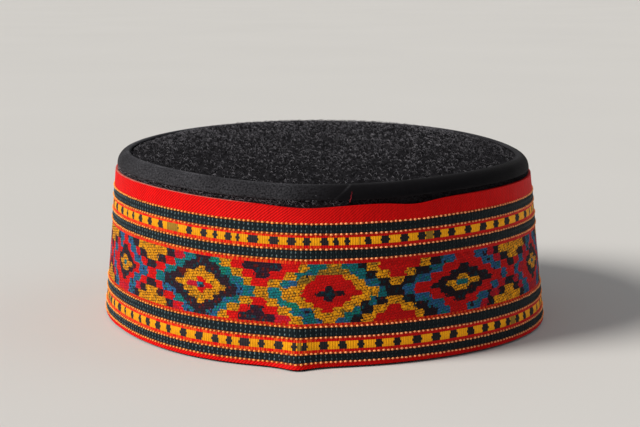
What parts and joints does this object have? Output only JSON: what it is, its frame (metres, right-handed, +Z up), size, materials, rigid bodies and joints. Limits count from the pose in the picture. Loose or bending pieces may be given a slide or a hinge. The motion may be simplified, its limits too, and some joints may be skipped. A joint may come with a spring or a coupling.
{
  "type": "round skullcap with a patterned woven border",
  "caption": "Round flat-topped cap of black wool fleece, its side covered by a woven border of stepped diamonds, checks and stripes, its rim bound in black tape.",
  "frame": {"origin": "middle of the cap's outline on the surface that it stands on", "axes": "+Z up through the crown, -Y towards the front, where the border is creased, +X to the right as seen from the front"},
  "size_m": [0.191, 0.1957, 0.0777],
  "materials": {
    "fleece": "matte, curly black wool fleece",
    "tape": "matte, smooth black cotton bias tape",
    "border_weave": "woven wool and cotton border, red ground with yellow, black, navy and teal pattern"
  },
  "bodies": {
    "root": {"crown": "fleece", "side_wall": "fleece", "patterned_band": "border_weave", "top_binding": "tape"}
  },
  "joints": []
}
